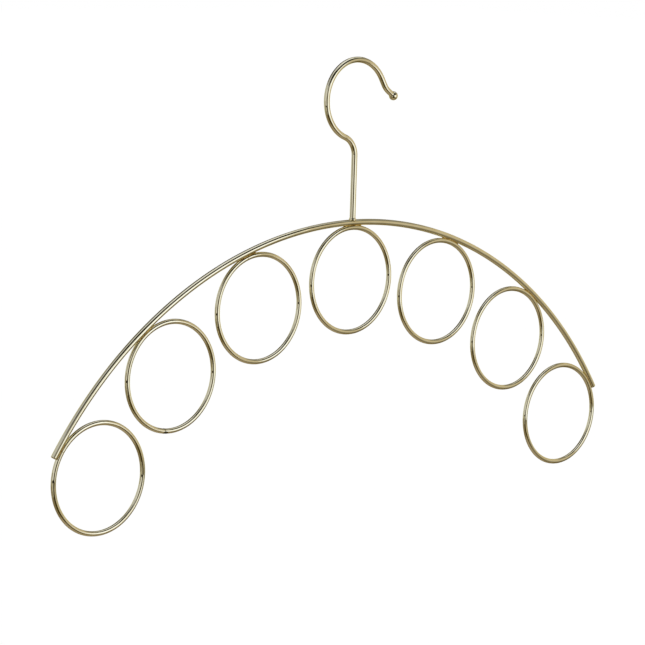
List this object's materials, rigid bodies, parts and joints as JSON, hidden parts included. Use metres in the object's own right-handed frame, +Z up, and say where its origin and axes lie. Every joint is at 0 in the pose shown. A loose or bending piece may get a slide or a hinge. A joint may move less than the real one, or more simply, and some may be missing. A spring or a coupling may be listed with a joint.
{
  "type": "scarf hanger",
  "caption": "Welded wire scarf hanger: a shallow arch with a row of rings under it and a round wardrobe hook above, in polished light gold plating.",
  "frame": {"origin": "the point under the top of the hook where the hanger rests on a wardrobe rail", "axes": "+X along the arch towards the side the hook's tip points to, +Y along the rail, +Z up"},
  "size_m": [0.4422, 0.0054, 0.2657],
  "materials": {
    "wire_plating": "polished light gold plating over steel wire",
    "weld_plating": "satin gold plating over a dressed weld"
  },
  "bodies": {
    "root": {"arch_wire": "wire_plating", "hook_wire": "wire_plating", "hook_tip_ball": "wire_plating", "ring_1": "wire_plating", "ring_2": "wire_plating", "ring_3": "wire_plating", "ring_4": "wire_plating", "ring_5": "wire_plating", "ring_6": "wire_plating", "ring_7": "wire_plating", "hook_weld": "weld_plating", "ring_weld_1": "weld_plating", "ring_weld_2": "weld_plating", "ring_weld_3": "weld_plating", "ring_weld_4": "weld_plating", "ring_weld_5": "weld_plating", "ring_weld_6": "weld_plating", "ring_weld_7": "weld_plating"}
  },
  "joints": []
}
